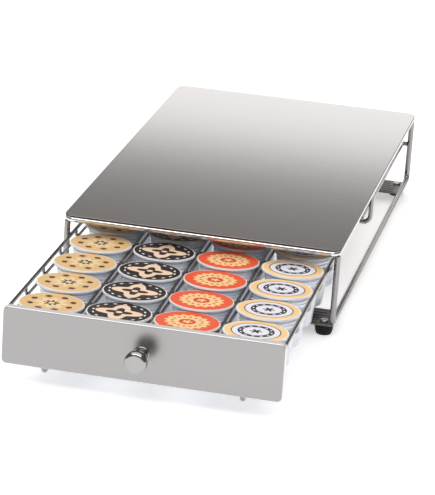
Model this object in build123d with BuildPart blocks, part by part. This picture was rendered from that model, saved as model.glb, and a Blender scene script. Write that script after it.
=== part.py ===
"""Coffee pod drawer: a wire basket of pods that slides under a low sheet-steel deck on a bent-wire frame.

Millimetres, +Z up, +Y from the drawer's front panel towards the back. The drawer is modelled partly
open, and the origin is the centre of the footprint of that open drawer and its frame, on the worktop.
"""

from build123d import *
from math import cos, radians, sin, sqrt, tan
import os

# ---- pods and the cells that hold them
POD_COLUMNS = 4
CELL_ROWS = 8
FILLED_ROWS = 6
COLUMN_GAP = 2.2  # between the rims of neighbouring columns
ROW_GAP = 3.5  # between the bodies of neighbouring rows, less than two rims are wide
POD_HEIGHT = 44.0
POD_BODY_TOP_D = 45.5
POD_RIM_W = 2.65
POD_BODY_BASE_D = 37.0
POD_RIM_T = 1.6
POD_WALL = 0.9
POD_EDGE_R = 1.5
FOIL_T = 0.4
FOIL_INSET = 0.4
POD_TILT = 3.2  # degrees, each rim's back edge under the rim behind it
COFFEE_HEAD = 3.0  # empty space over the ground coffee
COFFEE_FLOOR = 3.7  # empty space under it, where its paper filter hangs clear of the cup
COFFEE_GAP = 0.2

# ---- wire sizes
ROD_D = 5.0  # frame
STIRRUP_D = 4.0
BACK_ROD_D = 4.0
STOP_ROD_D = 4.0
GUIDE_D = 3.5
RUNNER_D = 4.0
RIM_WIRE_D = 3.0
RAIL_D = 2.5
CROSS_D = 2.5
CRADLE_D = 3.0
HOOP_D = 3.0
SUPPORT_D = 3.0

# ---- front panel and knob
PANEL_HEIGHT = 46.0
PANEL_FLANGE = 6.0
PANEL_T = 1.2
PANEL_CORNER_R = 4.0
PANEL_EDGE_R = 0.9
PANEL_OVERHANG = 0.2  # past the basket's side wires, on each side
LIP_ABOVE_PODS = 4.5
KNOB_REACH = 22.0
KNOB_HEAD_D = 17.6
KNOB_HEAD_T = 6.2
KNOB_HEAD_EDGE_R = 2.0
KNOB_NECK_D = 8.0
KNOB_NECK_FLARE = 4.0
KNOB_BASE_D = 13.0
KNOB_BASE_T = 2.0
KNOB_BORE_END = 2.0  # past the tip of the screw
SCREW_D = 4.0
SCREW_CLEARANCE = 0.05
SCREW_HEAD_D = 7.6
SCREW_HEAD_T = 2.6
SCREW_CROWN_R = 0.8
SCREW_GRIP = 10.0
SCREW_SLOT_W = 1.0
SCREW_SLOT_L = 4.6
SCREW_SLOT_DEPTH = 1.1
WASHER_D = 10.0
WASHER_T = 0.8

# ---- frame, deck and feet
DECK_T = 1.2
DECK_CORNER_R = 8.0
DECK_EDGE_R = 0.4
LEG_BEND_R = 6.0
FOOT_HEIGHT = 9.0
FOOT_D = 15.5
FOOT_TAPER = 0.8
FOOT_EDGE_R = 0.8
FOOT_X_INSET = 10.5
FOOT_Y_INSET = 15.0
STRIP_T = 1.5
STRIP_DEPTH = 36.0
STRIP_INSET = 7.0
STRIP_CORNER_R = 3.0
STRIP_BEAD_W = 4.0
STRIP_BEAD_H = 0.6
STRIP_BEAD_EDGE_R = 0.45
STRIP_BEAD_SPACING = 12.0
STRIP_BEAD_LENGTH = 120.0
RIVET_HEAD_D = 7.0
RIVET_HEAD_T = 1.6
RIVET_CROWN_R = 1.0
RIVET_SHANK_D = 3.2
RIVET_DEPTH = 5.0
STIRRUP_Y = 178.0  # from the deck's front edge
STIRRUP_BEND_R = 6.0
STOP_Y = 38.0  # from the deck's front edge
GUIDE_INSET = 1.3  # in from the basket's side wires
GUIDE_END_R = 0.9
GLIDE_W = 11.0
GLIDE_DEPTH = 30.0
GLIDE_FLOOR = 0.7
GLIDE_PEG_D = 4.0
GLIDE_EDGE = 0.6
RUNNER_INSET = 2.5  # in from the middle of the outer columns
RUNNER_BEND_R = 5.0
RUNNER_RISE = 16.0
CRADLE_OUTSET = 10.5  # out from the middle of the outer columns, so the uprights stand between two pods
CRADLE_BEND_R = 5.0
CROSS_BEND_R = 3.0
BASKET_CORNER_R = 8.0
HOOP_BEND_R = 7.0

# ---- clearances and gaps
RUN_GAP = 0.3  # sliding surfaces
RIM_GAP = 0.4  # pod rim to side wire
BODY_GAP = 0.4  # pod body to the rails beside it
SEAT_GAP = 0.15  # pod rim over the rail it hangs on
POD_FLOOR_GAP = 0.5
FRONT_GAP = 0.6
LEG_GAP = 1.7
BACK_GAP = 4.0
CLOSED_GAP = 1.5
TOP_GAP = 5.3
ANTI_TIP_GAP = 0.8
SUPPORT_GAP = 0.15  # under the level of the cross wires
HOLE_GAP = 0.05
CUT_PAST = 2.0  # how far a cutting tool runs beyond the face it cuts through

DRAWER_OUT = 190.0  # how far the modelled drawer stands out of its frame

# ---- heights, worked up from the worktop
tilt = radians(POD_TILT)
body_r = POD_BODY_TOP_D / 2
rim_r = body_r + POD_RIM_W
column_pitch = 2 * rim_r + COLUMN_GAP
row_pitch = POD_BODY_TOP_D + ROW_GAP
strip_z = FOOT_HEIGHT + STRIP_T
side_rod_z = strip_z + ROD_D / 2
runner_z = strip_z + GLIDE_FLOOR + RUN_GAP + RUNNER_D / 2
cradle_z = runner_z + RUNNER_D / 2 + CRADLE_D / 2
pod_z = runner_z + RUNNER_D / 2 + POD_FLOOR_GAP + POD_HEIGHT * cos(tilt) + POD_BODY_BASE_D / 2 * sin(tilt)
rail_offset = body_r + BODY_GAP + RAIL_D / 2
seat_drop = sqrt(rim_r**2 - rail_offset**2) * tan(tilt)
rail_z = pod_z - (POD_RIM_T + FOIL_T) / cos(tilt) - seat_drop - SEAT_GAP - RAIL_D / 2
cross_z = rail_z - RAIL_D / 2 - CROSS_D / 2
panel_top = pod_z + LIP_ABOVE_PODS
panel_z = panel_top - PANEL_HEIGHT / 2
rim_wire_z = panel_top - RIM_WIRE_D - PANEL_T / 2
top_rod_z = panel_top + TOP_GAP + ROD_D / 2
deck_z = top_rod_z + ROD_D / 2
height = deck_z + DECK_T
support_z = cross_z - CROSS_D / 2 - SUPPORT_GAP - SUPPORT_D / 2
guide_z = support_z - SUPPORT_D / 2 - RUN_GAP - GUIDE_D / 2
stirrup_z = guide_z - GUIDE_D / 2 - STIRRUP_D / 2
hoop_z = deck_z - ANTI_TIP_GAP - HOOP_D / 2
stop_z = deck_z - STOP_ROD_D / 2

# ---- widths, worked out from the middle
last_column_x = (POD_COLUMNS - 1) / 2 * column_pitch
rim_wire_x = last_column_x + rim_r + RIM_GAP + RIM_WIRE_D / 2
panel_width = 2 * (rim_wire_x + RIM_WIRE_D / 2 + PANEL_OVERHANG)
leg_x = rim_wire_x + RIM_WIRE_D / 2 + LEG_GAP + ROD_D / 2
width = 2 * leg_x + ROD_D
runner_x = last_column_x - RUNNER_INSET
cradle_x = last_column_x + CRADLE_OUTSET
guide_x = rim_wire_x - GUIDE_INSET

# ---- depths: along_frame counts from the deck's front edge, along_drawer from the panel's front face
first_row = PANEL_FLANGE + FRONT_GAP + rim_r
last_cross = first_row + (CELL_ROWS - 0.5) * row_pitch
back_wire = last_cross + BACK_GAP
hoop = back_wire + RIM_WIRE_D / 2 + HOOP_D / 2
rod_corner_r = DECK_CORNER_R - ROD_D / 2  # the rod loop follows the deck's corners
leg_step_y = rod_corner_r - ROD_D / 2  # the legs stand just inside the loop's front and back runs
depth = hoop + HOOP_D / 2 + CLOSED_GAP + BACK_ROD_D / 2 + leg_step_y + ROD_D / 2
overall_length = depth + DRAWER_OUT + KNOB_REACH
deck_front = overall_length / 2 - depth


def along_frame(y):
    return deck_front + y


def along_drawer(y):
    return deck_front - DRAWER_OUT + y


column_x = [(column - (POD_COLUMNS - 1) / 2) * column_pitch for column in range(POD_COLUMNS)]
row_y = [along_drawer(first_row + row * row_pitch) for row in range(CELL_ROWS)]
cross_y = [along_drawer(first_row + (row - 0.5) * row_pitch) for row in range(CELL_ROWS + 1)]
cradle_y = cross_y[2::2]
leg_front_y = along_frame(ROD_D / 2)
leg_back_y = along_frame(depth - ROD_D / 2)
strip_front_y = along_frame(STRIP_INSET + STRIP_DEPTH / 2)
strip_back_y = along_frame(depth - STRIP_INSET - STRIP_DEPTH / 2)
foot_x = width / 2 - FOOT_X_INSET
foot_front_y = along_frame(FOOT_Y_INSET)
foot_back_y = along_frame(depth - FOOT_Y_INSET)

pieces = []


def bent_wire(points, diameter, bend=0.0, closed=False):
    """Add a round wire to the sub-part: straight runs between the points, with a bend at each corner."""
    with BuildLine() as route:
        if bend:
            FilletPolyline(*points, radius=bend, close=closed)
        else:
            Polyline(*points)
    first_run = route.edges().sort_by(SortBy.LENGTH)[-1] if closed else route.line
    with BuildSketch(Plane(origin=first_run @ 0, z_dir=first_run % 0)) as section:
        Circle(diameter / 2)
    sweep(sections=section.sketch, path=route.wire())


def finish(name, builder):
    """Label a finished sub-part and put it on the list of pieces to write."""
    builder.part.label = name
    pieces.append(builder.part)


# ---- the deck: one flat brushed sheet with small round corners
with BuildPart() as top_deck:
    with BuildSketch(Plane.XY.offset(deck_z)):
        with Locations((0, along_frame(depth / 2))):
            RectangleRounded(width, depth, DECK_CORNER_R)
    extrude(amount=DECK_T)
    fillet(top_deck.faces().sort_by(Axis.Z)[-1].edges(), DECK_EDGE_R)
finish("top_deck", top_deck)

# ---- the rod loop under the deck's edge
with BuildPart() as top_rim_rod:
    bent_wire(
        [
            (-leg_x, leg_front_y, top_rod_z),
            (leg_x, leg_front_y, top_rod_z),
            (leg_x, leg_back_y, top_rod_z),
            (-leg_x, leg_back_y, top_rod_z),
        ],
        ROD_D,
        bend=rod_corner_r,
        closed=True,
    )
finish("top_rim_rod", top_rim_rod)

# ---- each side: one rod bent into a front leg, a bottom run and a back leg
leg_top_z = top_rod_z - ROD_D / 2
with BuildPart() as side_rod_right:
    bent_wire(
        [
            (leg_x, leg_front_y + leg_step_y, leg_top_z),
            (leg_x, leg_front_y + leg_step_y, side_rod_z),
            (leg_x, leg_back_y - leg_step_y, side_rod_z),
            (leg_x, leg_back_y - leg_step_y, leg_top_z),
        ],
        ROD_D,
        bend=LEG_BEND_R,
    )
finish("side_rod_right", side_rod_right)

with BuildPart() as side_rod_left:
    mirror(side_rod_right.part, about=Plane.YZ)
finish("side_rod_left", side_rod_left)


def foot_strip(name, strip_y, foot_y):
    """A flat cross strip under the side rods, with pressed beads and holes for feet and glides."""
    with BuildPart() as strip:
        with BuildSketch(Plane.XY.offset(FOOT_HEIGHT)):
            with Locations((0, strip_y)):
                RectangleRounded(width - ROD_D, STRIP_DEPTH, STRIP_CORNER_R)
        extrude(amount=STRIP_T)
        with BuildSketch(Plane.XY.offset(strip_z)):
            with Locations((0, strip_y)):
                with GridLocations(0, STRIP_BEAD_SPACING, 1, 2):
                    SlotOverall(STRIP_BEAD_LENGTH, STRIP_BEAD_W)
        extrude(amount=STRIP_BEAD_H)
        bead_tops = strip.faces().filter_by(Axis.Z).sort_by(Axis.Z)[-2:]
        fillet(bead_tops.edges(), STRIP_BEAD_EDGE_R)
        with Locations((-foot_x, foot_y, strip_z), (foot_x, foot_y, strip_z)):
            Hole(RIVET_SHANK_D / 2 + HOLE_GAP, depth=STRIP_T)
        with Locations((-runner_x, strip_y, strip_z), (runner_x, strip_y, strip_z)):
            Hole(GLIDE_PEG_D / 2 + HOLE_GAP, depth=STRIP_T)
    finish(name, strip)


foot_strip("front_foot_strip", strip_front_y, foot_front_y)
foot_strip("back_foot_strip", strip_back_y, foot_back_y)


def rubber_foot(name, x, y):
    """A turned rubber foot, a little narrower at the floor, bored for its rivet."""
    with BuildPart() as foot:
        with BuildSketch(Plane.XZ.offset(-y)):
            with BuildLine():
                Polyline(
                    (x, 0),
                    (x + FOOT_D / 2 - FOOT_TAPER, 0),
                    (x + FOOT_D / 2, FOOT_HEIGHT),
                    (x, FOOT_HEIGHT),
                    close=True,
                )
            make_face()
        revolve(axis=Axis((x, y, 0), (0, 0, 1)))
        fillet(foot.edges().filter_by(GeomType.CIRCLE).sort_by(Axis.Z)[0], FOOT_EDGE_R)
        with Locations((x, y, FOOT_HEIGHT)):
            Hole(RIVET_SHANK_D / 2 + HOLE_GAP, depth=RIVET_DEPTH + HOLE_GAP)
    finish(name, foot)


for front_back, foot_y in (("front", foot_front_y), ("back", foot_back_y)):
    for side, foot_side_x in (("left", -foot_x), ("right", foot_x)):
        rubber_foot(f"foot_{front_back}_{side}", foot_side_x, foot_y)

with BuildPart() as foot_rivets:
    for foot_y in (foot_front_y, foot_back_y):
        for foot_side_x in (-foot_x, foot_x):
            with Locations((foot_side_x, foot_y, strip_z)):
                Cylinder(RIVET_HEAD_D / 2, RIVET_HEAD_T, align=(Align.CENTER, Align.CENTER, Align.MIN))
            with Locations((foot_side_x, foot_y, strip_z)):
                Cylinder(
                    RIVET_SHANK_D / 2,
                    STRIP_T + RIVET_DEPTH,
                    align=(Align.CENTER, Align.CENTER, Align.MAX),
                )
    rivet_crowns = foot_rivets.faces().filter_by(Axis.Z).group_by(Axis.Z)[-1]
    fillet(rivet_crowns.edges(), RIVET_CROWN_R)
finish("foot_rivets", foot_rivets)


def glide_pair(name, strip_y):
    """Two nylon saddles, pegged into the strip, that the basket's runner wires slide in."""
    with BuildPart() as glides:
        with Locations((-runner_x, strip_y, strip_z), (runner_x, strip_y, strip_z)):
            Box(
                GLIDE_W,
                GLIDE_DEPTH,
                runner_z - strip_z,
                align=(Align.CENTER, Align.CENTER, Align.MIN),
            )
        chamfer(glides.edges().filter_by(Axis.Z), GLIDE_EDGE)
        with Locations((-runner_x, strip_y, runner_z), (runner_x, strip_y, runner_z)):
            Cylinder(
                RUNNER_D / 2 + RUN_GAP,
                GLIDE_DEPTH + 2 * CUT_PAST,
                rotation=(90, 0, 0),
                mode=Mode.SUBTRACT,
            )
        with Locations((-runner_x, strip_y, strip_z), (runner_x, strip_y, strip_z)):
            Cylinder(GLIDE_PEG_D / 2, STRIP_T, align=(Align.CENTER, Align.CENTER, Align.MAX))
    finish(name, glides)


glide_pair("front_glides", strip_front_y)
glide_pair("back_glides", strip_back_y)

# ---- side stirrups: dropped from the rim rod, bent inwards under the guide rails
stirrup_end_x = guide_x - GUIDE_D / 2
with BuildPart() as stirrup_right:
    bent_wire(
        [
            (leg_x, along_frame(STIRRUP_Y), leg_top_z),
            (leg_x, along_frame(STIRRUP_Y), stirrup_z),
            (stirrup_end_x, along_frame(STIRRUP_Y), stirrup_z),
        ],
        STIRRUP_D,
        bend=STIRRUP_BEND_R,
    )
finish("stirrup_right", stirrup_right)

with BuildPart() as stirrup_left:
    mirror(stirrup_right.part, about=Plane.YZ)
finish("stirrup_left", stirrup_left)

# ---- guide rails: from just in front of the stirrups back to the cross rod between the back legs
back_rod_y = leg_back_y - leg_step_y
with BuildPart() as guide_rail_right:
    bent_wire(
        [
            (guide_x, along_frame(STIRRUP_Y) - STIRRUP_D, guide_z),
            (guide_x, back_rod_y - BACK_ROD_D / 2, guide_z),
        ],
        GUIDE_D,
    )
    fillet(guide_rail_right.edges().sort_by(Axis.Y)[0], GUIDE_END_R)
finish("guide_rail_right", guide_rail_right)

with BuildPart() as guide_rail_left:
    mirror(guide_rail_right.part, about=Plane.YZ)
finish("guide_rail_left", guide_rail_left)

with BuildPart() as back_cross_rod:
    bent_wire(
        [(-leg_x + ROD_D / 2, back_rod_y, guide_z), (leg_x - ROD_D / 2, back_rod_y, guide_z)],
        BACK_ROD_D,
    )
finish("back_cross_rod", back_cross_rod)

# ---- the rod under the deck that the basket's hoop meets when the drawer is fully out
with BuildPart() as stop_rod:
    bent_wire(
        [
            (-leg_x + ROD_D / 2, along_frame(STOP_Y), stop_z),
            (leg_x - ROD_D / 2, along_frame(STOP_Y), stop_z),
        ],
        STOP_ROD_D,
    )
finish("stop_rod", stop_rod)

# ---- front panel: a shallow pan of brushed sheet, open at the back
panel_front_y = along_drawer(0)
with BuildPart() as front_panel:
    with BuildSketch(Plane.XZ.offset(-panel_front_y)):
        with Locations((0, panel_z)):
            RectangleRounded(panel_width, PANEL_HEIGHT, PANEL_CORNER_R)
    extrude(amount=-PANEL_FLANGE)
    fillet(front_panel.faces().sort_by(Axis.Y)[0].edges(), PANEL_EDGE_R)
    with BuildSketch(Plane.XZ.offset(-panel_front_y - PANEL_T)):
        with Locations((0, panel_z)):
            RectangleRounded(
                panel_width - 2 * PANEL_T,
                PANEL_HEIGHT - 2 * PANEL_T,
                PANEL_CORNER_R - PANEL_T,
            )
    extrude(amount=-PANEL_FLANGE, mode=Mode.SUBTRACT)
    with Locations((0, panel_front_y, panel_z)):
        Cylinder(
            SCREW_D / 2 + SCREW_CLEARANCE,
            2 * (PANEL_T + CUT_PAST),
            rotation=(90, 0, 0),
            mode=Mode.SUBTRACT,
        )
finish("front_panel", front_panel)

# ---- knob: base ring, slim neck and a broad slightly crowned head, turned about the screw
knob_neck_end = KNOB_REACH - KNOB_HEAD_T
knob_bore_depth = SCREW_GRIP + KNOB_BORE_END
with BuildPart() as knob:
    with BuildSketch(Plane.YZ):
        with BuildLine():
            Polyline(
                (panel_front_y, panel_z),
                (panel_front_y, panel_z + KNOB_BASE_D / 2),
                (panel_front_y - KNOB_BASE_T, panel_z + KNOB_BASE_D / 2),
                (panel_front_y - KNOB_BASE_T, panel_z + KNOB_NECK_D / 2),
                (panel_front_y - knob_neck_end + KNOB_NECK_FLARE, panel_z + KNOB_NECK_D / 2),
                (panel_front_y - knob_neck_end, panel_z + KNOB_HEAD_D / 2),
                (panel_front_y - KNOB_REACH, panel_z + KNOB_HEAD_D / 2),
                (panel_front_y - KNOB_REACH, panel_z),
                close=True,
            )
        make_face()
    revolve(axis=Axis((0, 0, panel_z), (0, 1, 0)))
    knob_face = knob.faces().sort_by(Axis.Y)[0]
    fillet(knob_face.edges(), KNOB_HEAD_EDGE_R)
    with Locations((0, panel_front_y - knob_bore_depth / 2, panel_z)):
        Cylinder(
            SCREW_D / 2 + SCREW_CLEARANCE,
            knob_bore_depth,
            rotation=(90, 0, 0),
            mode=Mode.SUBTRACT,
        )
finish("knob", knob)

# ---- the screw and washer that hold the knob from inside the pan
washer_y = panel_front_y + PANEL_T
with BuildPart() as knob_washer:
    with Locations((0, washer_y + WASHER_T / 2, panel_z)):
        Cylinder(WASHER_D / 2, WASHER_T, rotation=(90, 0, 0))
        Cylinder(
            SCREW_D / 2 + SCREW_CLEARANCE,
            WASHER_T + 2 * CUT_PAST,
            rotation=(90, 0, 0),
            mode=Mode.SUBTRACT,
        )
finish("knob_washer", knob_washer)

screw_head_y = washer_y + WASHER_T
with BuildPart() as knob_screw:
    with Locations((0, screw_head_y + SCREW_HEAD_T / 2, panel_z)):
        Cylinder(SCREW_HEAD_D / 2, SCREW_HEAD_T, rotation=(90, 0, 0))
    head_crown = knob_screw.faces().sort_by(Axis.Y)[-1]
    fillet(head_crown.edges(), SCREW_CROWN_R)
    screw_length = PANEL_T + WASHER_T + SCREW_GRIP
    with Locations((0, screw_head_y - screw_length / 2, panel_z)):
        Cylinder(SCREW_D / 2, screw_length, rotation=(90, 0, 0))
    with Locations((0, screw_head_y + SCREW_HEAD_T - SCREW_SLOT_DEPTH / 2, panel_z)):
        Box(SCREW_SLOT_L, SCREW_SLOT_DEPTH, SCREW_SLOT_W, mode=Mode.SUBTRACT)
        Box(SCREW_SLOT_W, SCREW_SLOT_DEPTH, SCREW_SLOT_L, mode=Mode.SUBTRACT)
finish("knob_screw", knob_screw)

# ---- basket rim: one wire from the panel's side flange round the back to the other flange
with BuildPart() as basket_rim:
    bent_wire(
        [
            (-rim_wire_x, along_drawer(PANEL_FLANGE), rim_wire_z),
            (-rim_wire_x, along_drawer(back_wire), rim_wire_z),
            (rim_wire_x, along_drawer(back_wire), rim_wire_z),
            (rim_wire_x, along_drawer(PANEL_FLANGE), rim_wire_z),
        ],
        RIM_WIRE_D,
        bend=BASKET_CORNER_R,
    )
finish("basket_rim", basket_rim)

# ---- two rails under each column of pods, from the panel's inner face: the pods hang between them by their rims
rail_front = along_drawer(PANEL_T)
rail_back = along_drawer(last_cross + CROSS_D / 2)
for number, x in enumerate(column_x, start=1):
    with BuildPart() as rails:
        for side in (-1, 1):
            rail_x = x + side * rail_offset
            bent_wire([(rail_x, rail_front, rail_z), (rail_x, rail_back, rail_z)], RAIL_D)
    finish(f"pod_rails_{number}", rails)

# ---- cross wires under the rails, between the rows, turned up to the basket's rim
rim_underside = rim_wire_z - RIM_WIRE_D / 2
with BuildPart() as cross_wires:
    for y in cross_y:
        bent_wire(
            [
                (-rim_wire_x, y, rim_underside),
                (-rim_wire_x, y, cross_z),
                (rim_wire_x, y, cross_z),
                (rim_wire_x, y, rim_underside),
            ],
            CROSS_D,
            bend=CROSS_BEND_R,
        )
finish("cross_wires", cross_wires)

# ---- cradle wires: hung from the cross wires and carried under the pods across the runners
cradle_top = cross_z - CROSS_D / 2
with BuildPart() as cradle_wires:
    for y in cradle_y:
        bent_wire(
            [
                (-cradle_x, y, cradle_top),
                (-cradle_x, y, cradle_z),
                (cradle_x, y, cradle_z),
                (cradle_x, y, cradle_top),
            ],
            CRADLE_D,
            bend=CRADLE_BEND_R,
        )
finish("cradle_wires", cradle_wires)

# ---- runner wires: along the bottom of the basket, turned up behind the panel's bottom flange
hoop_y = along_drawer(hoop)
hoop_foot_z = runner_z - RUNNER_D / 4  # off the floor of the glides it passes through
runner_front = along_drawer(PANEL_FLANGE + RUNNER_D / 2)
with BuildPart() as runner_right:
    bent_wire(
        [
            (runner_x, runner_front, runner_z + RUNNER_RISE),
            (runner_x, runner_front, runner_z),
            (runner_x, hoop_y - HOOP_D / 2, runner_z),
        ],
        RUNNER_D,
        bend=RUNNER_BEND_R,
    )
finish("runner_right", runner_right)

with BuildPart() as runner_left:
    mirror(runner_right.part, about=Plane.YZ)
finish("runner_left", runner_left)

# ---- back hoop: stands up behind the basket to just under the deck, so the drawer can't tip or fall out
with BuildPart() as back_hoop:
    bent_wire(
        [
            (-runner_x, hoop_y, hoop_foot_z),
            (-runner_x, hoop_y, hoop_z),
            (runner_x, hoop_y, hoop_z),
            (runner_x, hoop_y, hoop_foot_z),
        ],
        HOOP_D,
        bend=HOOP_BEND_R,
    )
finish("back_hoop", back_hoop)

# ---- the wire across the back of the basket whose ends ride on the guide rails
support_reach = guide_x + GUIDE_D / 2
with BuildPart() as support_wire:
    bent_wire(
        [
            (-support_reach, along_drawer(back_wire), support_z),
            (support_reach, along_drawer(back_wire), support_z),
        ],
        SUPPORT_D,
    )
finish("support_wire", support_wire)

# ---- one pod: a tapered cup with a flat rim, ground coffee inside, and a foil lid sealed on the rim
base_r = POD_BODY_BASE_D / 2
rim_z = -FOIL_T - POD_RIM_T
with BuildPart(mode=Mode.PRIVATE) as cup:
    with BuildSketch(Plane.XZ):
        with BuildLine():
            Polyline(
                (0, -POD_HEIGHT),
                (base_r, -POD_HEIGHT),
                (body_r, rim_z),
                (rim_r, rim_z),
                (rim_r, -FOIL_T),
                (body_r - POD_WALL, -FOIL_T),
                (base_r - POD_WALL, -POD_HEIGHT + POD_WALL),
                (0, -POD_HEIGHT + POD_WALL),
                close=True,
            )
        make_face()
    revolve(axis=Axis.Z)
    fillet(cup.edges().filter_by(GeomType.CIRCLE).sort_by(Axis.Z)[0], POD_EDGE_R)

with BuildPart(mode=Mode.PRIVATE) as lid:
    Cylinder(rim_r - FOIL_INSET, FOIL_T, align=(Align.CENTER, Align.CENTER, Align.MAX))

wall_slope = (body_r - base_r) / (POD_HEIGHT + rim_z)
coffee_top = -FOIL_T - COFFEE_HEAD
coffee_depth = POD_HEIGHT + coffee_top - POD_WALL - COFFEE_FLOOR
coffee_top_r = body_r - POD_WALL - COFFEE_GAP - (COFFEE_HEAD + FOIL_T) * wall_slope
with BuildPart(mode=Mode.PRIVATE) as coffee:
    with Locations((0, 0, coffee_top)):
        Cone(
            coffee_top_r - coffee_depth * wall_slope,
            coffee_top_r,
            coffee_depth,
            align=(Align.CENTER, Align.CENTER, Align.MAX),
        )


def pod_places(x):
    """Where the pods of one column hang, each leaning back so that its rim laps the one in front."""
    return [Location((x, y, pod_z), (-POD_TILT, 0, 0)) for y in row_y[:FILLED_ROWS]]


for number, x in enumerate(column_x, start=1):
    with BuildPart() as cups:
        with Locations(*pod_places(x)):
            add(cup.part)
    finish(f"pod_cups_{number}", cups)

for number, x in enumerate(column_x, start=1):
    with BuildPart() as lids:
        with Locations(*pod_places(x)):
            add(lid.part)
    finish(f"pod_lids_{number}", lids)

with BuildPart() as ground_coffee:
    for x in column_x:
        with Locations(*pod_places(x)):
            add(coffee.part)
finish("ground_coffee", ground_coffee)

# ---- what the sizes come to
drawer_travel_in = DRAWER_OUT
drawer_travel_out = hoop - HOOP_D / 2 - STOP_Y - STOP_ROD_D / 2 - RUN_GAP - DRAWER_OUT
rim_lap = 2 * rim_r - row_pitch * cos(tilt)
rim_step = row_pitch * sin(tilt) - POD_RIM_T - FOIL_T
print(f"frame {width:.1f} wide, {depth:.1f} deep, {height:.1f} high; length with the drawer out {overall_length:.1f}")
print(f"drawer travel: {drawer_travel_in:.1f} in, {drawer_travel_out:.1f} further out")
print(f"rims lap by {rim_lap:.2f}, stepped {rim_step:.2f} clear")

os.makedirs("parts", exist_ok=True)
for piece in pieces:
    export_step(piece, f"parts/{piece.label}.step")
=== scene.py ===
# %% [markdown]
# # A coffee pod drawer, dressed over its construction model
#
# The construction model fixes every size and every joint. This lesson gives the drawer its looks: brushed
# nickel sheet, drawn wire, moulded cups, printed foil, rubber and chrome, under soft studio light.
# Construction pieces whose shape is already right keep it and only get a finish. The others are replaced by
# surfaces that are worked out with numpy.

# %% Load the construction model and measure it
from math import cos, pi, radians, sin

import bmesh
import bpy
import numpy as np
from mathutils import Matrix, Vector


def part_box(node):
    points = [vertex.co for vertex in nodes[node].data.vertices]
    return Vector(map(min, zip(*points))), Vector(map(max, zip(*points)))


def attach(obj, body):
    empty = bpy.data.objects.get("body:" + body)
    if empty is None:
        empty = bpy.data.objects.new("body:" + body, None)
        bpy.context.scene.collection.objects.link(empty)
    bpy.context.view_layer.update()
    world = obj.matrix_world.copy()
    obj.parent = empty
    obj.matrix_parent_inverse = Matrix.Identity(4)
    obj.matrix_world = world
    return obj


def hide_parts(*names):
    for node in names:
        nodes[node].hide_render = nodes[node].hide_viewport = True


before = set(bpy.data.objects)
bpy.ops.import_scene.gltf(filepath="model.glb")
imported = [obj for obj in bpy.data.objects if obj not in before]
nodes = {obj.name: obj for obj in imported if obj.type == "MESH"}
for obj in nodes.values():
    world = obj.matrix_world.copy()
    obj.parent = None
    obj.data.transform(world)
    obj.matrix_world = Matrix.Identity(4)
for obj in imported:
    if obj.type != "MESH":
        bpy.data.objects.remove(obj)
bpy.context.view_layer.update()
MM = 0.001


def box_mm(node):
    """The lowest and highest corner of a construction node, in millimetres."""
    return tuple(np.array(corner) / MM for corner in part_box(node))


deck_low, deck_high = box_mm("top_deck")
print("deck from", deck_low.round(1), "to", deck_high.round(1))

# %% [markdown]
# ## The camera
#
# The photograph was taken with a long lens from the front right, a little above the deck. A long lens keeps
# the deck's edges nearly parallel, so the focal length matters as much as the place of the camera. The
# camera's place is measured from the middle of the deck's front edge.

# %% Place the camera
IMAGE_WIDTH = 435
FOCAL_PIXELS = 2655.7
SENSOR_WIDTH = 36.0
CAMERA_FROM_DECK_FRONT = Vector((404.1, -1988.0, 776.2))
CAMERA_YAW = radians(11.08)
CAMERA_DIP = radians(19.31)
CAMERA_ROLL = radians(3.95)

camera_data = bpy.data.cameras.new("photo_camera")
camera_data.sensor_fit = "HORIZONTAL"
camera_data.sensor_width = SENSOR_WIDTH
camera_data.lens = FOCAL_PIXELS / IMAGE_WIDTH * SENSOR_WIDTH
camera = bpy.data.objects.new("photo_camera", camera_data)
bpy.context.scene.collection.objects.link(camera)
camera_turn = (
    Matrix.Rotation(CAMERA_YAW, 4, "Z")
    @ Matrix.Rotation(pi / 2 - CAMERA_DIP, 4, "X")
    @ Matrix.Rotation(CAMERA_ROLL, 4, "Z")
)
camera_place = (CAMERA_FROM_DECK_FRONT + Vector((0, deck_low[1], 0))) * MM
camera.matrix_world = Matrix.Translation(camera_place) @ camera_turn
bpy.context.scene.camera = camera
print(f"lens {camera_data.lens:.1f} mm")

# %% [markdown]
# ## Materials
#
# Each finish is one small node tree. One helper turns the sRGB colours that people read off a screen into
# the linear values that the renderer works with. Another adds a node with its settings and its links.


# %% Helpers for materials
def linear(hex_colour):
    """An sRGB hex colour as linear RGBA: c / 12.92 near black, and ((c + 0.055) / 1.055) ^ 2.4 above."""
    srgb = np.array([int(hex_colour[k : k + 2], 16) for k in (1, 3, 5)]) / 255
    colour = np.where(srgb <= 0.04045, srgb / 12.92, ((srgb + 0.055) / 1.055) ** 2.4)
    return (*colour.tolist(), 1.0)


def add(tree, kind, settings=None, inputs=None):
    """Add a node. Settings go to its properties; inputs, by name or number, are values or other sockets."""
    node = tree.nodes.new(kind)
    for key, value in (settings or {}).items():
        setattr(node, key, value)
    for key, value in (inputs or {}).items():
        if isinstance(value, bpy.types.NodeSocket):
            tree.links.new(value, node.inputs[key])
        else:
            node.inputs[key].default_value = value
    return node


def new_material(name, colour, roughness, metallic=0.0):
    """A material with one colour, roughness and metalness, and its tree and shader to build on."""
    material = bpy.data.materials.new(name)
    material.use_nodes = True
    tree = material.node_tree
    shader = tree.nodes["Principled BSDF"]
    shader.inputs["Base Color"].default_value = linear(colour)
    shader.inputs["Roughness"].default_value = roughness
    shader.inputs["Metallic"].default_value = metallic
    return material, tree, shader


def give(material, *names):
    """Put a finish on construction nodes whose own shape is right."""
    for name in names:
        for slot in nodes[name].material_slots:
            slot.material = material
    print(f"{material.name} on {len(names)} nodes")


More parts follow.
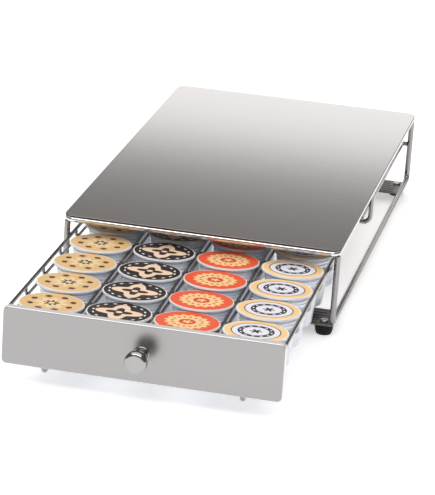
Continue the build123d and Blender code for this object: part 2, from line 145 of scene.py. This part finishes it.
# %% [markdown]
# ### Satin nickel on brushed sheet
#
# The deck and the front panel are steel sheet, brushed with a fine belt and then plated with nickel. To the
# eye this is a soft mirror: it blurs what it reflects, and fine straight lines run along the brushing. The
# lines come from noise that is stretched a hundred times along one axis. Real lines are about 0.1 mm apart,
# which is too fine to show, so they are drawn 0.4 mm apart. The belt only reaches the face. The deck's edge
# is painted dark, as painted shade, and the panel's bent flange is matt and painted pale, as a painted
# highlight. The direction that the surface faces tells face and edge apart.

# %% Brushed sheet
BRUSH_LINE = 0.4
BRUSH_RUN = 40.0
BRUSH_HEIGHT = 0.1
BRUSH_STRENGTH = 0.015
FACE_NORMAL = 0.95
EDGE_NORMAL = 0.6


def brushed_sheet(name, colour, roughness, spread, face_axis, painted_edge_tone, edge_roughness):
    """Satin nickel sheet, brushed along X on the faces that look along face_axis, with a painted edge tone.

    Stretched noise moves the roughness and raises fine lines. The edges get their own roughness and the
    edge colour, which is painted shade on the deck and a painted highlight on the panel. The share of edge
    finish goes from 0, where the normal's part along face_axis is over FACE_NORMAL, to 1, where it is under
    EDGE_NORMAL.
    """
    material, tree, shader = new_material(name, colour, roughness, metallic=1.0)
    place = add(tree, "ShaderNodeTexCoord")
    stretch = [1 / (size * MM) for size in (BRUSH_RUN, BRUSH_LINE, BRUSH_LINE)]
    lines = add(tree, "ShaderNodeMapping", inputs={"Vector": place.outputs["Object"], "Scale": stretch})
    grain = add(
        tree,
        "ShaderNodeTexNoise",
        inputs={"Vector": lines.outputs[0], "Scale": 1.0, "Detail": 3.0, "Roughness": 0.6},
    )
    tone = add(
        tree,
        "ShaderNodeMapRange",
        inputs={"Value": grain.outputs[0], "To Min": roughness - spread, "To Max": roughness + spread},
    )
    relief = add(
        tree,
        "ShaderNodeBump",
        inputs={"Height": grain.outputs[0], "Strength": BRUSH_STRENGTH, "Distance": BRUSH_HEIGHT * MM},
    )
    facing = add(tree, "ShaderNodeSeparateXYZ", inputs={0: place.outputs["Normal"]})
    square = add(tree, "ShaderNodeMath", {"operation": "ABSOLUTE"}, {0: facing.outputs[face_axis]})
    edge = add(
        tree,
        "ShaderNodeMapRange",
        inputs={"Value": square.outputs[0], "From Min": FACE_NORMAL, "From Max": EDGE_NORMAL},
    )
    gloss = add(tree, "ShaderNodeMix", inputs={0: edge.outputs[0], 2: tone.outputs[0], 3: edge_roughness})
    shade = add(
        tree,
        "ShaderNodeMix",
        {"data_type": "RGBA"},
        {0: edge.outputs[0], 6: linear(colour), 7: linear(painted_edge_tone)},
    )
    tree.links.new(shade.outputs[2], shader.inputs["Base Color"])
    tree.links.new(gloss.outputs[0], shader.inputs["Roughness"])
    tree.links.new(relief.outputs[0], shader.inputs["Normal"])
    return material


# The deck's edge colour is painted shade, and the panel's flange colour is a painted highlight.
deck_nickel = brushed_sheet("satin_nickel_deck", "#d0cecd", 0.2, 0.03, "Z", "#3e3b3a", 0.4)
panel_nickel = brushed_sheet("satin_nickel_panel", "#a3a2a2", 0.3, 0.04, "Y", "#eae8e7", 0.5)
give(deck_nickel, "top_deck")
give(panel_nickel, "front_panel")

# %% [markdown]
# ### Satin nickel on drawn wire
#
# Wire is drawn through a die, bent, welded and then plated as a whole basket. Its grey is painted darker
# than the sheet's, as painted shade, with small specks where the plate took unevenly. The rim rod under the
# deck's front edge is painted much lighter, as a painted highlight. One helper makes every speckled finish:
# noise of a real size, in millimetres, moves the tone and the roughness together, and may raise the surface
# a little.

# %% A speckled finish
NOISE_LOW = 0.3
NOISE_HIGH = 0.7


def speckled(name, colours, roughness, speck, metallic=0.0, relief=0.0, detail=2.0):
    """A finish whose noise goes from the first colour and roughness to the second, and up by relief mm.

    Nearly all of the noise lies between NOISE_LOW and NOISE_HIGH, so that range is spread over 0 to 1.
    """
    material, tree, shader = new_material(name, colours[0], roughness[0], metallic)
    place = add(tree, "ShaderNodeTexCoord")
    grain = add(
        tree,
        "ShaderNodeTexNoise",
        inputs={"Vector": place.outputs["Object"], "Scale": 1 / (speck * MM), "Detail": detail},
    )
    share = add(
        tree,
        "ShaderNodeMapRange",
        inputs={"Value": grain.outputs[0], "From Min": NOISE_LOW, "From Max": NOISE_HIGH},
    )
    tone = add(
        tree,
        "ShaderNodeMix",
        {"data_type": "RGBA"},
        {0: share.outputs[0], 6: linear(colours[0]), 7: linear(colours[1])},
    )
    gloss = add(
        tree,
        "ShaderNodeMapRange",
        inputs={"Value": share.outputs[0], "To Min": roughness[0], "To Max": roughness[1]},
    )
    tree.links.new(tone.outputs[2], shader.inputs["Base Color"])
    tree.links.new(gloss.outputs[0], shader.inputs["Roughness"])
    if relief:
        bump = add(tree, "ShaderNodeBump", inputs={"Height": grain.outputs[0], "Distance": relief * MM})
        tree.links.new(bump.outputs[0], shader.inputs["Normal"])
    return material


# %% Plated wire, rods and strips
# The wire's darker grey is painted shade.
wire_nickel_painted_shade = speckled("satin_nickel_wire_painted_shade", ("#93908f", "#9a9796"), (0.12, 0.17), 0.8, metallic=1.0)
# The rim rod's light grey is a painted highlight along the deck's front edge.
rim_rod_nickel_painted_highlight = speckled("satin_nickel_rim_rod_painted_highlight", ("#d8d5d3", "#dedbd9"), (0.13, 0.17), 0.8, metallic=1.0)
strip_nickel = speckled("satin_nickel_strip", ("#605c5a", "#6a6663"), (0.3, 0.38), 1.5, metallic=1.0)
wire_ends = ("_rod", "_rod_left", "_rod_right", "_wires", "_wire", "_hoop", "_rim")
wire_starts = ("stirrup", "guide_rail", "pod_rails", "runner")
give(wire_nickel_painted_shade, *(name for name in nodes if name.endswith(wire_ends) or name.startswith(wire_starts)))
give(rim_rod_nickel_painted_highlight, "top_rim_rod")

# %% [markdown]
# ### Chrome, zinc, rubber, nylon and coffee
#
# The knob has chrome plate, which is a mirror with hardly any blur. The screw, the washer and the rivets
# are plated with zinc, which is paler and blurs more. The feet are moulded rubber, nearly black and too
# rough to shine. The glides are moulded nylon with a dull sheen. Ground coffee is a heap of brown grains
# of about 0.6 mm, so it is uneven and has no gloss.

# %% Chrome, zinc, rubber, nylon and coffee
knob_chrome = speckled("polished_chrome", ("#a3a2a1", "#a9a8a7"), (0.12, 0.16), 1.0, metallic=1.0)
zinc = speckled("bright_zinc", ("#b4b5b8", "#c3c4c8"), (0.25, 0.35), 0.5, metallic=1.0)
give(zinc, "knob_screw", "knob_washer", "foot_rivets")

rubber = speckled("moulded_rubber", ("#0a0a0b", "#0f0f11"), (0.62, 0.72), 0.6, relief=0.05)
rubber.node_tree.nodes["Principled BSDF"].inputs["Specular IOR Level"].default_value = 0.25
nylon = speckled("moulded_nylon", ("#1b1b1e", "#232327"), (0.36, 0.46), 0.4, relief=0.02)
coffee = speckled("ground_coffee", ("#21130a", "#56371f"), (0.85, 0.95), 0.6, relief=0.4, detail=4.0)
give(nylon, "front_glides", "back_glides")
give(coffee, "ground_coffee")

# %% [markdown]
# ## Surfaces from numpy
#
# A surface here is a grid of points, worked out as one array, with a four-sided face between each four
# neighbours. A turned piece is a profile of radius and height, carried round an axis.


# %% Grids
def grid_faces(rows, columns):
    """Vertex numbers of the faces of a grid of closed rings: point (i, j) has number i * columns + j.

    Ring i joins ring i + 1, and point j joins point j + 1, where the last point of a ring joins the first.
    """
    i, j = np.meshgrid(np.arange(rows - 1), np.arange(columns), indexing="ij")
    j_next = (j + 1) % columns
    corners = (i * columns + j, i * columns + j_next, (i + 1) * columns + j_next, (i + 1) * columns + j)
    return np.stack(corners, axis=-1).reshape(-1, 4)


def surface(name, grids, material, body, uv=None, sharp=40):
    """One object from grids of points in millimetres, shaped (copies, rings, points of a ring, 3).

    Points that fall together, as at the pole of a turned piece, are merged, and the faces turned outwards.
    Edges that bend by more than the sharp angle, in degrees, stay crisp.
    """
    copies, rows, columns, _ = grids.shape
    faces = grid_faces(rows, columns)
    faces = (faces[None] + (np.arange(copies) * rows * columns)[:, None, None]).reshape(-1, 4)
    mesh = bpy.data.meshes.new(name)
    mesh.from_pydata((grids.reshape(-1, 3) * MM).tolist(), [], faces.tolist())
    if uv is not None:
        layer = mesh.uv_layers.new(name="print")
        layer.data.foreach_set("uv", uv.reshape(-1, 2)[faces.ravel()].astype(np.float32).ravel())
    shape = bmesh.new()
    shape.from_mesh(mesh)
    bmesh.ops.remove_doubles(shape, verts=shape.verts, dist=1e-4 * MM)
    bmesh.ops.recalc_face_normals(shape, faces=shape.faces)
    shape.to_mesh(mesh)
    shape.free()
    mesh.shade_smooth()
    mesh.set_sharp_from_angle(angle=radians(sharp))
    mesh.materials.append(material)
    piece = bpy.data.objects.new(name, mesh)
    bpy.context.scene.collection.objects.link(piece)
    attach(piece, body)
    print(name, len(mesh.polygons), "faces")
    return piece


# %% Outlines and turned pieces
STRAIGHT_HALF_ANGLE = 1.56


def rounded(corners, radii, steps=5):
    """A run of straight lines whose corners are arcs.

    An arc of radius r at a corner of half angle h starts r / tan(h) before it; its centre lies r / sin(h)
    from the corner, on the line that halves the angle. Its points turn evenly from one end to the other.
    A corner without a radius, or so open that its half angle is over STRAIGHT_HALF_ANGLE, stays one point.
    """
    corners = np.asarray(corners, float)
    points = [corners[:1]]
    for before, corner, after, radius in zip(corners, corners[1:], corners[2:], radii):
        back = (before - corner) / np.linalg.norm(before - corner)
        ahead = (after - corner) / np.linalg.norm(after - corner)
        half = np.arccos(np.clip(back @ ahead, -1, 1)) / 2
        if radius == 0 or half > STRAIGHT_HALF_ANGLE:
            points.append(corner[None])
            continue
        middle = (back + ahead) / np.linalg.norm(back + ahead)
        centre = corner + middle * radius / np.sin(half)
        start = corner + back * radius / np.tan(half) - centre
        end = corner + ahead * radius / np.tan(half) - centre
        turn = pi - 2 * half
        share = np.linspace(0, 1, steps + 1)[:, None]
        arc = np.sin((1 - share) * turn) * start + np.sin(share * turn) * end
        points.append(centre + arc / np.sin(turn))
    points.append(corners[-1:])
    return np.concatenate(points)


def turned(profile, turns, radius_change=0.0):
    """A profile of (radius, height) carried round Z: x = r cos t, y = r sin t, with t in even steps."""
    angle = np.linspace(0, 2 * pi, turns, endpoint=False)
    radius = profile[:, :1] + radius_change
    height = np.broadcast_to(profile[:, 1:], (len(profile), turns))
    return np.stack([radius * np.cos(angle), radius * np.sin(angle), height], axis=-1)


# %% [markdown]
# ## The pods
#
# A pod is a thin moulded cup with a flat rim. Its wall has a few round grooves under the rim, and upright
# flutes below them, which stiffen it and catch the light. A foil lid is sealed to the rim. Every pod leans
# back by a few degrees, so that its rim laps over the one in front.

# %% Where the pods hang
POD_TILT = radians(3.2)
POD_ROWS = 6
LID_RADIUS = 25.0
FOIL_THICKNESS = 0.4

lid_low, lid_high = box_mm("pod_lids_1")
lid_depth = 2 * LID_RADIUS * cos(POD_TILT) + FOIL_THICKNESS * sin(POD_TILT)
row_pitch = (lid_high[1] - lid_low[1] - lid_depth) / (POD_ROWS - 1)
first_row = lid_low[1] + LID_RADIUS * cos(POD_TILT)
pod_height = lid_high[2] - LID_RADIUS * sin(POD_TILT)
row_y = first_row + row_pitch * np.arange(POD_ROWS)
print(f"rows {row_pitch:.2f} apart, lids at height {pod_height:.2f}")


def hung(shape, x):
    """Copies of a shape, one in each row of the column at x: leaned back about X, then moved there."""
    lean = np.array(Matrix.Rotation(-POD_TILT, 3, "X"))
    places = np.stack([np.full(POD_ROWS, x), row_y, np.full(POD_ROWS, pod_height)], axis=-1)
    return (shape @ lean.T)[None] + places[:, None, None, :]


# %% [markdown]
# ### The cup
#
# The profile runs from the middle of the base up the grooved wall, round the rim and down the inside. It
# is closed, so the cup has a real wall. The grooves are a cosine wave in the wall's radius.

# %% The cup's profile
CUP_BASE = -44.0
WALL_TOP_RADIUS = 22.7
WALL_SLOPE = 0.101
GROOVES = 4
GROOVE_POINTS = 9
GROOVE_DEPTH = 0.9
GROOVE_TOP = -2.3
GROOVE_BOTTOM = -14.1

base_corners = [(0, -43.1), (12.5, -43.1), (13.3, CUP_BASE), (18.5, CUP_BASE), (20.0, -29.0)]
base = rounded(base_corners, [0.4, 0.3, 1.5], steps=4)
groove_share = np.linspace(0, 1, GROOVE_POINTS * GROOVES)
groove_height = GROOVE_BOTTOM + (GROOVE_TOP - GROOVE_BOTTOM) * groove_share
wall_radius = WALL_TOP_RADIUS + WALL_SLOPE * (groove_height - GROOVE_TOP)
groove_radius = wall_radius - GROOVE_DEPTH * (0.5 - 0.5 * np.cos(2 * pi * GROOVES * groove_share))
grooved_wall = np.stack([groove_radius, groove_height], axis=-1)
flange = rounded([(22.7, -2.0), (25.4, -2.0), (25.4, -0.45), (21.7, -0.45)], [0.6, 0.6], steps=4)
inner_wall = np.array([(21.4, -0.6), (20.3, -14.0), (17.6, -42.9), (0, -42.3)])
cup_profile = np.concatenate([base, grooved_wall, flange, inner_wall])
print(len(cup_profile), "points in the cup's profile")

# %% Turn the cup and press its flutes
CUP_TURNS = 120
FLUTES = 30
FLUTE_DEPTH = 0.3
FLUTE_TOP = -17.0
FLUTE_BOTTOM = -39.0
FLUTE_FADE = 2.0
PROFILE_STEP = 3.0
MID_WALL_BASE_RADIUS = 17.5
MID_WALL_SLOPE = 0.1


def cup_shape():
    """The cup's profile turned round Z, with flutes: the radius dips by a raised cosine of the angle.

    The profile first gets points at about every PROFILE_STEP of height, so that the flutes can fade in and
    out over FLUTE_FADE. Only points outside a cone that lies between the two faces of the wall are dipped.
    """
    fine = [cup_profile[:1]]
    for start, end in zip(cup_profile, cup_profile[1:]):
        parts = max(1, int(abs(end[1] - start[1]) / PROFILE_STEP))
        fine.append(start + (end - start) * np.linspace(0, 1, parts + 1)[1:, None])
    profile = np.concatenate(fine)
    angle = np.linspace(0, 2 * pi, CUP_TURNS, endpoint=False)
    height = profile[:, 1]
    outside = profile[:, 0] > MID_WALL_BASE_RADIUS + (height - CUP_BASE) * MID_WALL_SLOPE
    below_top = np.clip((FLUTE_TOP - height) / FLUTE_FADE, 0, 1)
    above_bottom = np.clip((height - FLUTE_BOTTOM) / FLUTE_FADE, 0, 1)
    window = below_top * above_bottom * outside
    dip = -FLUTE_DEPTH * window[:, None] * (0.5 - 0.5 * np.cos(FLUTES * angle)) ** 2
    return turned(profile, CUP_TURNS, dip)


cup = cup_shape()
print("cup grid", cup.shape)

# %% [markdown]
# ### The cup's plastic
#
# The cup is moulded from thin white polypropylene. Light enters it and leaves a few millimetres away, so
# the grooves look soft and never quite dark. The mould was polished, and a thin coat in the shader gives
# the clear highlight that such a skin has.

# %% White polypropylene
cup_plastic = speckled("moulded_polypropylene_cup", ("#e4e8f0", "#ebeef5"), (0.2, 0.26), 6.0)
cup_shader = cup_plastic.node_tree.nodes["Principled BSDF"]
cup_shader.inputs["Subsurface Weight"].default_value = 0.5
cup_shader.inputs["Subsurface Radius"].default_value = (0.004, 0.004, 0.005)
cup_shader.inputs["Coat Weight"].default_value = 0.5
cup_shader.inputs["Coat Roughness"].default_value = 0.08

# %% Hang the cups
column_boxes = [box_mm(f"pod_lids_{number}") for number in (1, 2, 3, 4)]
column_x = [(low[0] + high[0]) / 2 for low, high in column_boxes]
for number, x in enumerate(column_x, start=1):
    piece = surface(f"moulded_cups_{number}", hung(cup, x), cup_plastic, "drawer")
    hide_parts(f"pod_cups_{number}")

# %% [markdown]
# ### The printed lids
#
# A lid is aluminium foil with lacquered print, heat-sealed round its edge. The print is a plain pattern of
# rings, petals and dots in the colours of the photographed lids. It is drawn from the lid's own UV map,
# whose two values run over the lid like x and y: the distance from the middle picks the rings, and the
# angle round it shapes the petals.

# %% The foil, with its sealed edge
LID_TURNS = 96
dished_middle = [(0, -0.12), (4, -0.12), (8, -0.11), (12, -0.1), (16, -0.08), (19, -0.06), (21.5, -0.05)]
sealed_groove = [(22.2, -0.12), (22.6, -0.14), (23.2, -0.1)]
outer_edge = [(24.2, -0.04), (24.85, -0.04), (25.0, -0.12), (25.0, -0.38)]
underside = [(24.0, -0.4), (12, -0.4), (0, -0.4)]
lid_profile = np.array(dished_middle + sealed_groove + outer_edge + underside)
foil = turned(lid_profile, LID_TURNS)
foil_uv = foil[..., :2] / LID_RADIUS / 2 + 0.5
print("foil grid", foil.shape)


# %% Print in layers of ink
def foil_print(name, ground, layers):
    """Printed foil: each layer is a colour and a rule that says where it is printed over the ground.

    A rule is a function that adds nodes. It gets the helper that adds a sum, the distance from the middle,
    in lid radii, and the angle, and returns a socket that is 1 where the ink lies.
    """
    material, tree, shader = new_material(name, ground, 0.4)
    place = add(tree, "ShaderNodeTexCoord")
    centred = add(
        tree,
        "ShaderNodeMapping",
        inputs={"Vector": place.outputs["UV"], "Location": (-1, -1, 0), "Scale": (2, 2, 1)},
    )
    axes = add(tree, "ShaderNodeSeparateXYZ", inputs={0: centred.outputs[0]})
    distance = add(tree, "ShaderNodeVectorMath", {"operation": "LENGTH"}, {0: centred.outputs[0]})

    def sums(operation, *values):
        return add(tree, "ShaderNodeMath", {"operation": operation}, dict(enumerate(values))).outputs[0]

    angle = sums("ARCTAN2", axes.outputs["Y"], axes.outputs["X"])
    colour = linear(ground)
    for ink, rule in layers:
        mask = rule(sums, distance.outputs["Value"], angle)
        mix = add(tree, "ShaderNodeMix", {"data_type": "RGBA"}, {0: mask, 6: colour, 7: linear(ink)})
        colour = mix.outputs[2]
    tree.links.new(colour, shader.inputs["Base Color"])
    shader.inputs["Specular IOR Level"].default_value = 0.2
    print(name, "with", len(layers), "layers of ink")
    return material


# %% [markdown]
# Four rules draw everything on the lids. A circle is a limit on the distance from the middle, and a ring is
# a band of it. Let the limit swing with the angle, and a circle becomes a flower. Let the width of a ring
# swing, and it breaks up into beads.


# %% Shapes of ink
def disc(radius):
    """Ink inside a circle."""
    return lambda sums, r, angle: sums("LESS_THAN", r, radius)


def ring(inner, outer):
    """Ink between two circles: the distance from the line midway is under half the width."""

    def rule(sums, r, angle):
        off = sums("ABSOLUTE", sums("SUBTRACT", r, (inner + outer) / 2))
        return sums("LESS_THAN", off, (outer - inner) / 2)

    return rule


def petals(count, radius, wave, turn=0.0):
    """Ink inside radius + wave * cos(count * angle): a flower, a star or a scalloped disc."""

    def rule(sums, r, angle):
        swing = sums("COSINE", sums("MULTIPLY_ADD", angle, float(count), turn))
        return sums("LESS_THAN", r, sums("MULTIPLY_ADD", swing, wave, radius))

    return rule


def beads(count, radius, size, turn=0.0):
    """A ring of separate marks: the distance from the ring is under size * cos(count * angle)."""

    def rule(sums, r, angle):
        swing = sums("COSINE", sums("MULTIPLY_ADD", angle, float(count), turn))
        off = sums("ABSOLUTE", sums("SUBTRACT", r, radius))
        return sums("LESS_THAN", off, sums("MULTIPLY", swing, size))

    return rule


# %% Four prints, one for each column
TAN, TAN_LIGHT, BROWN, CREAM, DARK = "#e5be86", "#f2d5a6", "#4a2c1c", "#f6d6b8", "#241615"
ORANGE, YELLOW, BRICK, WHITE, LILAC = "#ee5c35", "#fbd193", "#d8452a", "#f7f5f1", "#ececf6"
lid_prints = [
    foil_print(
        "printed_foil_tan",
        WHITE,
        [
            (TAN, disc(0.975)),
            (TAN_LIGHT, petals(8, 0.42, 0.10)),
            (BROWN, beads(8, 0.66, 0.10, pi)),
            (DARK, petals(8, 0.20, 0.07)),
            (TAN_LIGHT, disc(0.10)),
        ],
    ),
    foil_print(
        "printed_foil_dark",
        WHITE,
        [
            (DARK, disc(0.97)),
            (CREAM, petals(4, 0.58, 0.16)),
            (DARK, petals(4, 0.30, 0.12)),
            (CREAM, disc(0.10)),
            (WHITE, beads(16, 0.80, 0.035)),
        ],
    ),
    foil_print(
        "printed_foil_orange",
        WHITE,
        [
            (ORANGE, disc(0.975)),
            (YELLOW, petals(16, 0.66, 0.05)),
            (BRICK, beads(16, 0.46, 0.06)),
            (BRICK, disc(0.26)),
            (YELLOW, petals(5, 0.12, 0.05)),
        ],
    ),
    foil_print(
        "printed_foil_cream",
        WHITE,
        [
            (YELLOW, disc(0.955)),
            (BROWN, disc(0.765)),
            (LILAC, disc(0.73)),
            (DARK, ring(0.40, 0.56)),
            (LILAC, beads(12, 0.48, 0.035)),
            (DARK, petals(6, 0.14, 0.06)),
        ],
    ),
]

# %% Seal the lids on
slots = ("pod_lid_tan", "pod_lid_dark", "pod_lid_orange", "pod_lid_cream")
column_uv = np.broadcast_to(foil_uv, (POD_ROWS, *foil_uv.shape))
for number, (x, material, slot) in enumerate(zip(column_x, lid_prints, slots), start=1):
    piece = surface(f"sealed_lids_{number}", hung(foil, x), material, "drawer", uv=column_uv)
    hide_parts(f"pod_lids_{number}")

# %% [markdown]
# ## The knob
#
# The knob is turned from brass and chromed. Its profile, read from the panel outwards, is a base ring, a
# groove, a bead, a slim neck, and a head with a nearly flat back, a well-rounded edge and a slightly domed
# face.

# %% Turn the knob
KNOB_TURNS = 96
KNOB_SEAT_GAP = 0.02

knob_low, knob_high = box_mm("knob")
knob_axis_z = (knob_low[2] + knob_high[2]) / 2
knob_root_y = knob_high[1]
knob_reach = knob_high[1] - knob_low[1]
head_r = (knob_high[0] - knob_low[0]) / 2
knob_profile = rounded(
    [
        (0, KNOB_SEAT_GAP),
        (6.5, KNOB_SEAT_GAP),
        (6.5, 1.9),
        (4.6, 1.9),
        (4.6, 2.9),
        (5.4, 2.9),
        (5.4, 7.4),
        (4.2, 8.6),
        (4.2, 14.2),
        (head_r, 15.2),
        (head_r, knob_reach - 0.3),
        (0, knob_reach),
    ],
    [0.3, 0.8, 0.3, 0.2, 0.5, 1.6, 0.8, 1.2, 0.8, 2.8],
    steps=6,
)
knob_grid = turned(knob_profile, KNOB_TURNS)
knob_grid = np.stack(
    [knob_grid[..., 0], knob_root_y - knob_grid[..., 2], knob_axis_z + knob_grid[..., 1]], axis=-1
)
piece = surface("turned_knob", knob_grid[None], knob_chrome, "drawer")
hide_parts("knob")

# %% [markdown]
# ## Feet and foot strips
#
# Two strips of pressed sheet cross under the frame, ribbed so that they don't bend, and carry the rubber
# feet. A rib is a smooth wave in the height of the sheet. The waves fade out round the rivets and the
# glides, which sit flat.

# %% Rubber feet
FOOT_BORE = 1.65
FOOT_BORE_DEPTH = 5.05
FOOT_INSET = 0.02
FOOT_TURNS = 64

foot_names = [name for name in nodes if name.startswith(("foot_front", "foot_back"))]
for name in foot_names:
    foot_low, foot_high = box_mm(name)
    middle = (foot_low + foot_high) / 2
    top_r = (foot_high[0] - foot_low[0]) / 2
    top_z = foot_high[2]
    foot_profile = rounded(
        [
            (0, 0.5),
            (3.0, 0.5),
            (3.6, 0.0),
            (top_r - 1.6, 0.0),
            (top_r - 0.6, 3.0),
            (top_r - FOOT_INSET, top_z - 1.6),
            (top_r - FOOT_INSET, top_z),
            (FOOT_BORE, top_z),
            (FOOT_BORE, top_z - FOOT_BORE_DEPTH),
            (0, top_z - FOOT_BORE_DEPTH),
        ],
        [0.3, 0.3, 1.2, 2.0, 0.6, 0.5, 0.1, 0.1],
    )
    foot = turned(foot_profile, FOOT_TURNS) + np.array([middle[0], middle[1], 0])
    piece = surface(f"moulded_{name}", foot[None], rubber, "frame")
    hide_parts(name)

# %% [markdown]
# ### The ribbed strips
#
# A strip is a flattened tube of points. Each ring goes over the top of the sheet from front to back and
# returns along its underside. The same wave runs through both, so the sheet keeps its thickness. The first
# and last rings are pinched shut. Near its ends the strip narrows along the arc of its round corners.

# %% Ribbed strips
SHEET_THICKNESS = 1.5
RIB_HEIGHT = 0.55
RIB_SPACING = 6.0
RIB_FADE = 3.0
STRIP_CORNER = 3.0
STRIP_CORNER_STATIONS = 7
STRIP_STATIONS = 300
STRIP_LINES = 61
ROD_SEAT = 6.0
RIVET_PAD = 4.0
GLIDE_HALF_WIDTH = 5.5
GLIDE_PAD_HALF_WIDTH = 6.0
GLIDE_PAD_HALF_DEPTH = 15.5


def flat_pad(x, y, centre, half_width, half_depth):
    """0 inside a rectangle round a fitting and 1 away from it, with a smooth ramp RIB_FADE wide."""
    off = np.maximum(np.abs(x - centre[0]) - half_width, np.abs(y - centre[1]) - half_depth)
    ramp = np.clip(off / RIB_FADE, 0, 1)
    return ramp * ramp * (3 - 2 * ramp)


def ribbed_strip(name, foot_name, glides_name):
    """A pressed strip: its height is RIB_HEIGHT * (1 - cos(2 pi y / RIB_SPACING)) / 2, flat at fittings."""
    low, high = box_mm(name)
    foot_low, foot_high = box_mm(foot_name)
    glide_high = box_mm(glides_name)[1]
    foot_centre = (foot_low + foot_high) / 2
    glide_x = glide_high[0] - GLIDE_HALF_WIDTH
    middle_y = (low[1] + high[1]) / 2
    half_depth = (high[1] - low[1]) / 2
    edge = np.cumsum(1 - np.cos(np.linspace(0, pi / 2, STRIP_CORNER_STATIONS)))
    near_end = STRIP_CORNER * edge / edge[-1]
    inner = np.linspace(low[0] + STRIP_CORNER, high[0] - STRIP_CORNER, STRIP_STATIONS)[1:-1]
    x = np.concatenate([low[0] + near_end, inner, high[0] - near_end[::-1]])
    x = np.concatenate([x[:1], x, x[-1:]])
    into_corner = STRIP_CORNER - np.minimum(np.minimum(x - low[0], high[0] - x), STRIP_CORNER)
    reach = half_depth - STRIP_CORNER + np.sqrt(STRIP_CORNER**2 - into_corner**2)
    share = np.linspace(-1, 1, STRIP_LINES)
    share = np.concatenate([share, share[::-1]])
    x_grid, share_grid = np.meshgrid(x, share, indexing="ij")
    y_grid = middle_y + share_grid * reach[:, None]
    wave = (1 - np.cos(2 * pi * (y_grid - middle_y) / RIB_SPACING)) / 2
    flat = np.clip((high[0] - ROD_SEAT - np.abs(x_grid)) / RIB_FADE, 0, 1)
    for side in (-1, 1):
        rivet = (side * foot_centre[0], foot_centre[1])
        flat = flat * flat_pad(x_grid, y_grid, rivet, RIVET_PAD, RIVET_PAD)
        glide = (side * glide_x, middle_y)
        flat = flat * flat_pad(x_grid, y_grid, glide, GLIDE_PAD_HALF_WIDTH, GLIDE_PAD_HALF_DEPTH)
    under = np.repeat([0.0, 1.0], STRIP_LINES)
    under = np.broadcast_to(under, x_grid.shape).copy()
    under[[0, -1]] = 0.5
    z_grid = foot_high[2] + SHEET_THICKNESS * (1 - under) + RIB_HEIGHT * wave * flat
    grid = np.stack([x_grid, y_grid, z_grid], axis=-1)
    piece = surface(f"pressed_{name}", grid[None], strip_nickel, "frame", sharp=30)
    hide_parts(name)


ribbed_strip("front_foot_strip", "foot_front_right", "front_glides")
ribbed_strip("back_foot_strip", "foot_back_right", "back_glides")

# %% [markdown]
# ## Floor and light
#
# The photograph has a white ground and no visible room, as on a light table. So the floor glows a little,
# which keeps the shadows pale.

# %% The glowing floor
FLOOR_REACH = 6.0
FLOOR_GLOW = 0.45

floor_mesh = bpy.data.meshes.new("floor")
floor_corners = [(x * FLOOR_REACH, y * FLOOR_REACH, 0) for x, y in ((-1, -1), (1, -1), (1, 1), (-1, 1))]
floor_mesh.from_pydata(floor_corners, [], [(0, 1, 2, 3)])
floor = bpy.data.objects.new("floor", floor_mesh)
bpy.context.scene.collection.objects.link(floor)
floor_paint, _, floor_shader = new_material("pale_floor", "#f2f2f2", 0.9)
floor_shader.inputs["Emission Color"].default_value = linear("#ffffff")
floor_shader.inputs["Emission Strength"].default_value = FLOOR_GLOW
floor_mesh.materials.append(floor_paint)
print(f"floor {2 * FLOOR_REACH} m wide")

# %% [markdown]
# ### Three soft lights and a dim room
#
# A wide, dim softbox above and behind lights the pods. Were it smaller and brighter, it would turn the deck
# white when seen from above. A long box high in front draws the bright lines on the rods and wires. A low
# box behind the object is what the deck reflects. The far end of the deck mirrors the bright box, and the
# near end mirrors the dim room above the box, so the sheet fades from light to dark.


# %% Softboxes
def softbox(name, centre, aim_at, width, height, brightness):
    """A soft rectangular light facing a point: its power is pi * area * brightness."""
    data = bpy.data.lights.new(name, "AREA")
    data.shape = "RECTANGLE"
    data.size = width
    data.size_y = height
    data.energy = pi * width * height * brightness
    light = bpy.data.objects.new(name, data)
    direction = Vector(aim_at) - Vector(centre)
    turn = direction.to_track_quat("-Z", "Y").to_matrix().to_4x4()
    light.matrix_world = Matrix.Translation(centre) @ turn
    light.visible_camera = False
    bpy.context.scene.collection.objects.link(light)
    print(f"{name} {data.energy:.1f} W")


softbox("top_box", (-0.3, 0.7, 2.2), (-0.3, 0.7, 0), width=3.6, height=3.6, brightness=1.2)
softbox("front_box", (0.0, -1.8, 2.0), (0, 0, 0), width=3.0, height=1.0, brightness=4.2)
softbox("back_box", (0.0, 0.75, 0.19), (0.0, 0.0, 0.19), width=2.4, height=0.18, brightness=1.12)

# %% The dim room
ROOM_COLOUR = "#fff6f0"
ROOM_GLOW = 0.17

world = bpy.data.worlds.new("studio")
bpy.context.scene.world = world
world.use_nodes = True
world.node_tree.nodes["Background"].inputs["Color"].default_value = linear(ROOM_COLOUR)
world.node_tree.nodes["Background"].inputs["Strength"].default_value = ROOM_GLOW
bpy.context.scene.view_settings.view_transform = "Standard"
